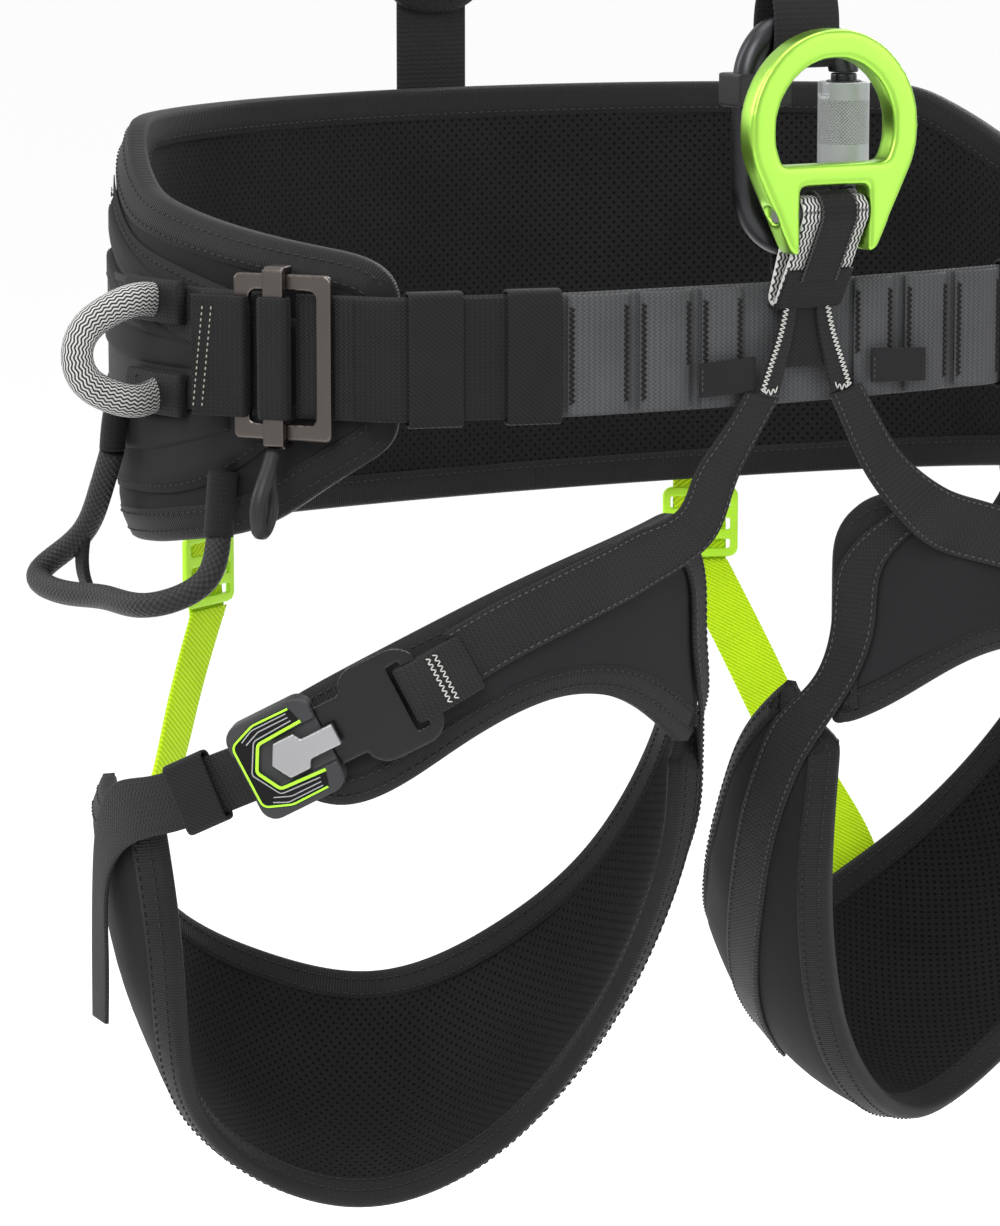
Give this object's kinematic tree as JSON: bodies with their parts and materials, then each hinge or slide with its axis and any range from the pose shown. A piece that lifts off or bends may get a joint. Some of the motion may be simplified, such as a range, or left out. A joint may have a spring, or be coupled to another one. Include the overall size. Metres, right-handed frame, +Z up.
{
  "type": "tree climbing saddle",
  "caption": "Climbing saddle with a padded hip belt, front attachment ring on a webbing sling, captive carabiner, side loops, gear loops and two buckled leg loops.",
  "frame": {"origin": "centre of the waist opening, level with the mount called waist, 3.5 mm above the middle height of the front webbing", "axes": "+Z up as worn, wearer faces -Y, wearer's left is +X"},
  "size_m": [0.5008, 0.3029, 0.5294],
  "materials": {
    "pad_fabric": "matte woven cover over foam",
    "softshell": "smooth matte softshell",
    "mesh_lining": "perforated spacer mesh",
    "binding": "ribbed elastic tape",
    "webbing": "ribbed polyester webbing",
    "elastic": "twill elastic band",
    "sling_webbing": "tubular webbing with a black core and a light wavy weave",
    "green_elastic": "twill elastic webbing",
    "green_plastic": "moulded",
    "green_anodised": "satin anodised",
    "steel": "brushed",
    "gunmetal": "polished bronze-grey anodised",
    "black_anodised": "satin anodised",
    "grey_anodised": "satin anodised with a knurled band",
    "black_plastic": "moulded",
    "black_painted": "satin black",
    "cord": "braided sheath over a tube",
    "label": "woven tab, plain"
  },
  "bodies": {
    "saddle": {"back_strap": "webbing", "buckle_frames": "gunmetal", "buckle_loops": "webbing", "carabiner_body": "black_anodised", "carabiner_bracket": "black_plastic", "carabiner_tie": "webbing", "chest_strap": "webbing", "dorsal_pad": "pad_fabric", "front_webbing": "webbing", "gate_rivet": "steel", "gear_loop_tabs": "webbing", "hip_covers": "softshell", "hip_pad": "pad_fabric", "hip_pad_binding": "binding", "hip_pad_lining": "mesh_lining", "label_tabs": "label", "lateral_sleeves": "webbing", "left_rear_riser": "green_elastic", "left_riser_adjuster": "green_plastic", "right_rear_riser": "green_elastic", "right_riser_adjuster": "green_plastic", "riser_tabs": "webbing", "sling_sleeve": "webbing", "strap_tails": "webbing", "ventral_gusset": "webbing", "ventral_sling": "sling_webbing", "waist_webbing": "webbing"},
    "ring": {"ventral_ring": "green_anodised", "ring_pin": "steel"},
    "gate": {"carabiner_gate": "black_anodised"},
    "bush": {"sleeve_bush": "black_plastic"},
    "lock_sleeve": {"gate_sleeve": "grey_anodised"},
    "right_slider": {"right_buckle_slider": "gunmetal"},
    "right_outer_keeper": {"right_outer_keeper": "elastic"},
    "right_inner_keeper": {"right_inner_keeper": "elastic"},
    "right_lateral": {"right_lateral_loop": "sling_webbing"},
    "right_gear": {"right_gear_loop": "cord"},
    "right_leg": {"right_leg_pad": "pad_fabric", "right_front_leg_pad": "softshell", "right_leg_lining": "mesh_lining", "right_leg_riser": "webbing", "right_leg_strap": "webbing", "right_leg_buckle_body": "black_plastic", "right_leg_buckle_frame": "black_painted"},
    "right_latch": {"right_leg_buckle_latch": "steel"},
    "right_leg_keeper": {"right_leg_keeper": "elastic"},
    "left_slider": {"left_buckle_slider": "gunmetal"},
    "left_outer_keeper": {"left_outer_keeper": "elastic"},
    "left_inner_keeper": {"left_inner_keeper": "elastic"},
    "left_lateral": {"left_lateral_loop": "sling_webbing"},
    "left_gear": {"left_gear_loop": "cord"},
    "left_leg": {"left_leg_pad": "pad_fabric", "left_front_leg_pad": "softshell", "left_leg_lining": "mesh_lining", "left_leg_riser": "webbing", "left_leg_strap": "webbing", "left_leg_buckle_body": "black_plastic", "left_leg_buckle_frame": "black_painted"},
    "left_latch": {"left_leg_buckle_latch": "steel"},
    "left_leg_keeper": {"left_leg_keeper": "elastic"}
  },
  "joints": [
    {"name": "ring_fold", "type": "hinge", "parent": "saddle", "child": "ring", "pos_m": [0, -0.147, 0.046], "axis": [1, 0, 0], "range_deg": [0, 100]},
    {"name": "gate_open", "type": "hinge", "parent": "saddle", "child": "gate", "pos_m": [0.0235, -0.121, 0.0475], "axis": [0, -1, 0], "range_deg": [0, 20], "stiffness_Nm_per_rad": 0.4, "springref_deg": -11.46},
    {"name": "sleeve_drop", "type": "slide", "parent": "gate", "child": "bush", "axis": [0, 0, -1], "range_m": [0, 0.004], "stiffness_N_per_m": 300, "springref_m": -0.003},
    {"name": "sleeve_twist", "type": "hinge", "parent": "bush", "child": "lock_sleeve", "pos_m": [0.0235, -0.121, 0.075], "axis": [0, 0, 1], "range_deg": [0, 60], "stiffness_Nm_per_rad": 0.02, "springref_deg": -11.46},
    {"name": "right_slider_release", "type": "slide", "parent": "saddle", "child": "right_slider", "axis": [0.6196, -0.7849, 0], "range_m": [0, 0.004]},
    {"name": "right_outer_keeper_slide", "type": "slide", "parent": "saddle", "child": "right_outer_keeper", "axis": [0.9637, -0.2669, 0], "range_m": [-0.001, 0.006]},
    {"name": "right_inner_keeper_slide", "type": "slide", "parent": "saddle", "child": "right_inner_keeper", "axis": [0.9637, -0.2669, 0], "range_m": [-0.006, 0.001]},
    {"name": "right_lateral_sweep", "type": "hinge", "parent": "saddle", "child": "right_lateral", "pos_m": [-0.2113, -0.023, -0.004], "axis": [0, 0, 1], "range_deg": [-20, 20], "stiffness_Nm_per_rad": 0.03},
    {"name": "right_gear_lift", "type": "hinge", "parent": "saddle", "child": "right_gear", "pos_m": [-0.211, 0.013, -0.046], "axis": [0.1743, -0.9153, -0.3632], "range_deg": [0, 14], "stiffness_Nm_per_rad": 0.3},
    {"name": "right_leg_swing", "type": "hinge", "parent": "saddle", "child": "right_leg", "pos_m": [0, -0.1315, -0.026], "axis": [1, 0, 0], "range_deg": [-20, 15], "stiffness_Nm_per_rad": 2, "springref_deg": 8.59, "deforming": ["right_rear_riser"]},
    {"name": "right_latch_release", "type": "slide", "parent": "right_leg", "child": "right_latch", "axis": [-0.7211, 0.5166, -0.4617], "range_m": [0, 0.005], "stiffness_N_per_m": 400, "springref_m": -0.002},
    {"name": "right_leg_keeper_slide", "type": "slide", "parent": "right_leg", "child": "right_leg_keeper", "axis": [0.4642, -0.8024, 0.375], "range_m": [-0.003, 0.003]},
    {"name": "left_slider_release", "type": "slide", "parent": "saddle", "child": "left_slider", "axis": [-0.6196, -0.7849, 0], "range_m": [0, 0.004]},
    {"name": "left_outer_keeper_slide", "type": "slide", "parent": "saddle", "child": "left_outer_keeper", "axis": [-0.9637, -0.2669, 0], "range_m": [-0.001, 0.006]},
    {"name": "left_inner_keeper_slide", "type": "slide", "parent": "saddle", "child": "left_inner_keeper", "axis": [-0.9637, -0.2669, 0], "range_m": [-0.006, 0.001]},
    {"name": "left_lateral_sweep", "type": "hinge", "parent": "saddle", "child": "left_lateral", "pos_m": [0.2113, -0.023, -0.004], "axis": [0, 0, 1], "range_deg": [-20, 20], "stiffness_Nm_per_rad": 0.03},
    {"name": "left_gear_lift", "type": "hinge", "parent": "saddle", "child": "left_gear", "pos_m": [0.211, 0.013, -0.046], "axis": [0.1743, 0.9153, 0.3632], "range_deg": [0, 14], "stiffness_Nm_per_rad": 0.3},
    {"name": "left_leg_swing", "type": "hinge", "parent": "saddle", "child": "left_leg", "pos_m": [0, -0.1315, -0.026], "axis": [1, 0, 0], "range_deg": [-20, 15], "stiffness_Nm_per_rad": 2, "springref_deg": 8.59, "deforming": ["left_rear_riser"]},
    {"name": "left_latch_release", "type": "slide", "parent": "left_leg", "child": "left_latch", "axis": [0.7211, 0.5166, -0.4617], "range_m": [0, 0.005], "stiffness_N_per_m": 400, "springref_m": -0.002},
    {"name": "left_leg_keeper_slide", "type": "slide", "parent": "left_leg", "child": "left_leg_keeper", "axis": [-0.4642, -0.8024, 0.375], "range_m": [-0.003, 0.003]}
  ]
}
